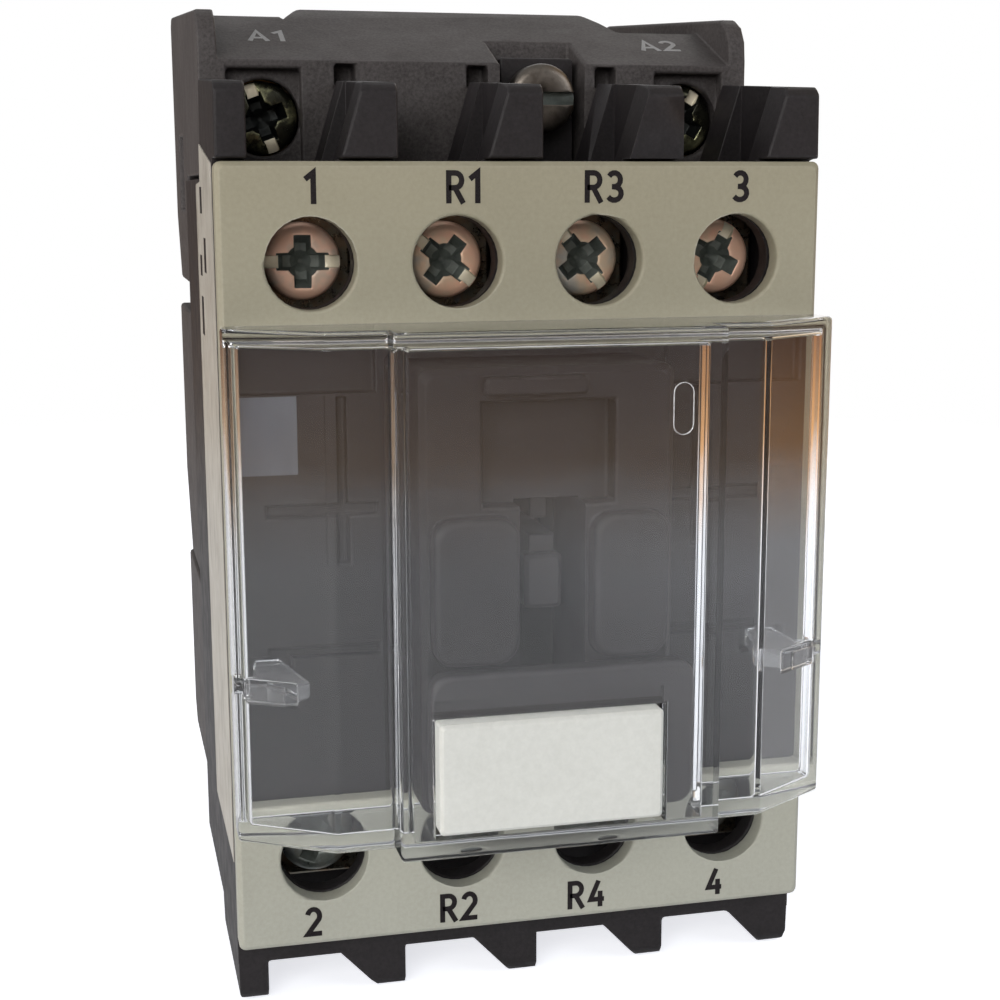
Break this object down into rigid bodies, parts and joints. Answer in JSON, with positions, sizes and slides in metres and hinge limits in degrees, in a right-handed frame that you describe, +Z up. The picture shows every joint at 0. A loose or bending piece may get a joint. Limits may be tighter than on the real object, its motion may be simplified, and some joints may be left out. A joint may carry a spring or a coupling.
{
  "type": "din rail contactor",
  "caption": "Compact contactor for a 35 mm rail with screw terminals above and below, coil terminals on top and a clear sealing cover over the front.",
  "frame": {"origin": "centre of the face that rests on the 35 mm rail", "axes": "+X to the right seen from the front, +Y to the rear and into the rail, +Z up"},
  "size_m": [0.045, 0.0923, 0.0773],
  "materials": {
    "fascia_plastic": "fine satin",
    "housing_plastic": "satin",
    "base_plastic": "satin",
    "carrier_plastic": "satin",
    "marker_plastic": "smooth",
    "clear_plastic": "clear, polished",
    "zinc_steel": "zinc plated",
    "spring_steel": "drawn wire",
    "contact_brass": "bright stamped",
    "copper": "bright",
    "laminated_iron": "ground laminations",
    "winding_enamel": "enamelled wire under film",
    "bobbin_nylon": "satin",
    "buffer_rubber": "dull"
  },
  "bodies": {
    "base": {"base_housing": "base_plastic", "front_housing": "housing_plastic", "fascia": "fascia_plastic", "marker_holder": "carrier_plastic", "fixed_core": "laminated_iron", "coil_bobbin": "bobbin_nylon", "coil_winding": "winding_enamel", "shading_ring_1": "copper", "shading_ring_2": "copper", "core_buffer": "buffer_rubber", "coil_terminal_a1": "contact_brass", "coil_terminal_a2": "contact_brass", "housing_screw_1": "zinc_steel", "housing_screw_2": "zinc_steel", "rail_clip_spring": "spring_steel", "return_spring": "spring_steel", "fixed_contact_upper_1": "contact_brass", "fixed_contact_upper_2": "contact_brass", "fixed_contact_upper_3": "contact_brass", "fixed_contact_upper_4": "contact_brass", "fixed_contact_lower_1": "contact_brass", "fixed_contact_lower_2": "contact_brass", "fixed_contact_lower_3": "contact_brass", "fixed_contact_lower_4": "contact_brass"},
    "carrier": {"contact_carrier": "carrier_plastic", "armature_core": "laminated_iron", "armature_pin": "spring_steel", "moving_contact_1": "contact_brass", "moving_contact_2": "contact_brass", "moving_contact_3": "contact_brass", "moving_contact_4": "contact_brass", "contact_spring_1": "spring_steel", "contact_spring_2": "spring_steel", "contact_spring_3": "spring_steel", "contact_spring_4": "spring_steel"},
    "clamp_upper_1": {"terminal_clamp_upper_1": "zinc_steel"},
    "screw_upper_1": {"terminal_screw_upper_1": "zinc_steel"},
    "clamp_upper_2": {"terminal_clamp_upper_2": "zinc_steel"},
    "screw_upper_2": {"terminal_screw_upper_2": "zinc_steel"},
    "clamp_upper_3": {"terminal_clamp_upper_3": "zinc_steel"},
    "screw_upper_3": {"terminal_screw_upper_3": "zinc_steel"},
    "clamp_upper_4": {"terminal_clamp_upper_4": "zinc_steel"},
    "screw_upper_4": {"terminal_screw_upper_4": "zinc_steel"},
    "clamp_lower_1": {"terminal_clamp_lower_1": "zinc_steel"},
    "screw_lower_1": {"terminal_screw_lower_1": "zinc_steel"},
    "clamp_lower_2": {"terminal_clamp_lower_2": "zinc_steel"},
    "screw_lower_2": {"terminal_screw_lower_2": "zinc_steel"},
    "clamp_lower_3": {"terminal_clamp_lower_3": "zinc_steel"},
    "screw_lower_3": {"terminal_screw_lower_3": "zinc_steel"},
    "clamp_lower_4": {"terminal_clamp_lower_4": "zinc_steel"},
    "screw_lower_4": {"terminal_screw_lower_4": "zinc_steel"},
    "coil_clamp_a1": {"coil_clamp_a1": "zinc_steel"},
    "coil_screw_a1": {"coil_screw_a1": "zinc_steel"},
    "coil_clamp_a2": {"coil_clamp_a2": "zinc_steel"},
    "coil_screw_a2": {"coil_screw_a2": "zinc_steel"},
    "clip": {"rail_clip": "housing_plastic"},
    "cover": {"clear_cover": "clear_plastic"},
    "marker": {"marker_plate": "marker_plastic"}
  },
  "joints": [
    {"name": "carrier_slide", "type": "slide", "parent": "base", "child": "carrier", "axis": [0, 1, 0], "range_m": [0, 0.004], "stiffness_N_per_m": 400, "springref_m": -0.002, "deforming": ["return_spring"]},
    {"name": "clamp_upper_1_slide", "type": "slide", "parent": "base", "child": "clamp_upper_1", "axis": [0, -1, 0], "range_m": [0, 0.0022]},
    {"name": "screw_upper_1_turn", "type": "hinge", "parent": "clamp_upper_1", "child": "screw_upper_1", "pos_m": [-0.01593, -0.0704, 0.017], "axis": [0, -1, 0], "range_deg": [0, 1320]},
    {"name": "clamp_upper_2_slide", "type": "slide", "parent": "base", "child": "clamp_upper_2", "axis": [0, -1, 0], "range_m": [0, 0.0022]},
    {"name": "screw_upper_2_turn", "type": "hinge", "parent": "clamp_upper_2", "child": "screw_upper_2", "pos_m": [-0.00531, -0.0704, 0.017], "axis": [0, -1, 0], "range_deg": [0, 1320]},
    {"name": "clamp_upper_3_slide", "type": "slide", "parent": "base", "child": "clamp_upper_3", "axis": [0, -1, 0], "range_m": [0, 0.0022]},
    {"name": "screw_upper_3_turn", "type": "hinge", "parent": "clamp_upper_3", "child": "screw_upper_3", "pos_m": [0.00531, -0.0704, 0.017], "axis": [0, -1, 0], "range_deg": [0, 1320]},
    {"name": "clamp_upper_4_slide", "type": "slide", "parent": "base", "child": "clamp_upper_4", "axis": [0, -1, 0], "range_m": [0, 0.0022]},
    {"name": "screw_upper_4_turn", "type": "hinge", "parent": "clamp_upper_4", "child": "screw_upper_4", "pos_m": [0.01593, -0.0704, 0.017], "axis": [0, -1, 0], "range_deg": [0, 1320]},
    {"name": "clamp_lower_1_slide", "type": "slide", "parent": "base", "child": "clamp_lower_1", "axis": [0, -1, 0], "range_m": [0, 0.0022]},
    {"name": "screw_lower_1_turn", "type": "hinge", "parent": "clamp_lower_1", "child": "screw_lower_1", "pos_m": [-0.01593, -0.0704, -0.0273], "axis": [0, -1, 0], "range_deg": [0, 1320]},
    {"name": "clamp_lower_2_slide", "type": "slide", "parent": "base", "child": "clamp_lower_2", "axis": [0, -1, 0], "range_m": [0, 0.0022]},
    {"name": "screw_lower_2_turn", "type": "hinge", "parent": "clamp_lower_2", "child": "screw_lower_2", "pos_m": [-0.00531, -0.0704, -0.0273], "axis": [0, -1, 0], "range_deg": [0, 1320]},
    {"name": "clamp_lower_3_slide", "type": "slide", "parent": "base", "child": "clamp_lower_3", "axis": [0, -1, 0], "range_m": [0, 0.0022]},
    {"name": "screw_lower_3_turn", "type": "hinge", "parent": "clamp_lower_3", "child": "screw_lower_3", "pos_m": [0.00531, -0.0704, -0.0273], "axis": [0, -1, 0], "range_deg": [0, 1320]},
    {"name": "clamp_lower_4_slide", "type": "slide", "parent": "base", "child": "clamp_lower_4", "axis": [0, -1, 0], "range_m": [0, 0.0022]},
    {"name": "screw_lower_4_turn", "type": "hinge", "parent": "clamp_lower_4", "child": "screw_lower_4", "pos_m": [0.01593, -0.0704, -0.0273], "axis": [0, -1, 0], "range_deg": [0, 1320]},
    {"name": "coil_clamp_a1_slide", "type": "slide", "parent": "base", "child": "coil_clamp_a1", "axis": [0, -1, 0], "range_m": [0, 0.0016]},
    {"name": "coil_screw_a1_turn", "type": "hinge", "parent": "coil_clamp_a1", "child": "coil_screw_a1", "pos_m": [-0.0173, -0.0579, 0.0277], "axis": [0, -1, 0], "range_deg": [0, 960]},
    {"name": "coil_clamp_a2_slide", "type": "slide", "parent": "base", "child": "coil_clamp_a2", "axis": [0, -1, 0], "range_m": [0, 0.0016]},
    {"name": "coil_screw_a2_turn", "type": "hinge", "parent": "coil_clamp_a2", "child": "coil_screw_a2", "pos_m": [0.0173, -0.0579, 0.0277], "axis": [0, -1, 0], "range_deg": [0, 960]},
    {"name": "rail_clip_slide", "type": "slide", "parent": "base", "child": "clip", "axis": [0, 0, -1], "range_m": [0, 0.004], "stiffness_N_per_m": 600, "springref_m": -0.001, "deforming": ["rail_clip_spring"]},
    {"name": "cover_pull", "type": "slide", "parent": "base", "child": "cover", "axis": [0, -1, 0], "range_m": [0, 0.02]},
    {"name": "marker_pull", "type": "slide", "parent": "base", "child": "marker", "axis": [0, -1, 0], "range_m": [0, 0.006]}
  ],
  "couplings": [
    {"joint": "screw_upper_1_turn", "follows": "clamp_upper_1_slide", "rad_per_m": 10472},
    {"joint": "screw_upper_2_turn", "follows": "clamp_upper_2_slide", "rad_per_m": 10472},
    {"joint": "screw_upper_3_turn", "follows": "clamp_upper_3_slide", "rad_per_m": 10472},
    {"joint": "screw_upper_4_turn", "follows": "clamp_upper_4_slide", "rad_per_m": 10472},
    {"joint": "screw_lower_1_turn", "follows": "clamp_lower_1_slide", "rad_per_m": 10472},
    {"joint": "screw_lower_2_turn", "follows": "clamp_lower_2_slide", "rad_per_m": 10472},
    {"joint": "screw_lower_3_turn", "follows": "clamp_lower_3_slide", "rad_per_m": 10472},
    {"joint": "screw_lower_4_turn", "follows": "clamp_lower_4_slide", "rad_per_m": 10472},
    {"joint": "coil_screw_a1_turn", "follows": "coil_clamp_a1_slide", "rad_per_m": 10472},
    {"joint": "coil_screw_a2_turn", "follows": "coil_clamp_a2_slide", "rad_per_m": 10472}
  ]
}
